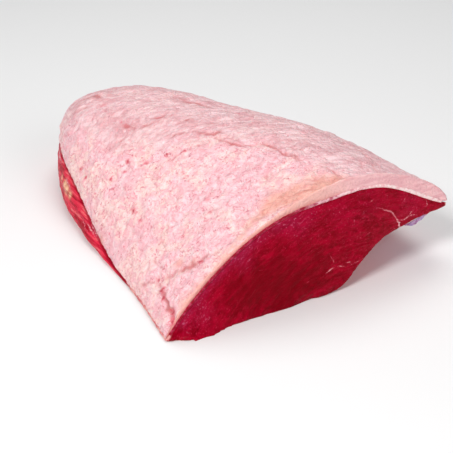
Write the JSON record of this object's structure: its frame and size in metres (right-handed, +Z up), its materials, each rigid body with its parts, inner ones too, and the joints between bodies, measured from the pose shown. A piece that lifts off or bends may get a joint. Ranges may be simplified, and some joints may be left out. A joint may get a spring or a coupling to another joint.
{
  "type": "beef shoulder joint",
  "caption": "Raw three-cornered beef shoulder joint, cut straight across its wide end, with a fat cap over dark red lean meat.",
  "frame": {"origin": "under the middle of the joint's outline, on the surface it rests on", "axes": "+Z up; -Y is the way the cut face looks; +Y runs to the narrow far end; +X is to the right when looking at the cut face"},
  "size_m": [0.2276, 0.3102, 0.085],
  "materials": {
    "fat": "matte raw fat, pinkish white",
    "lean": "moist raw lean meat, dark crimson"
  },
  "bodies": {
    "root": {"fat_cap": "fat", "lean_meat": "lean"}
  },
  "joints": []
}
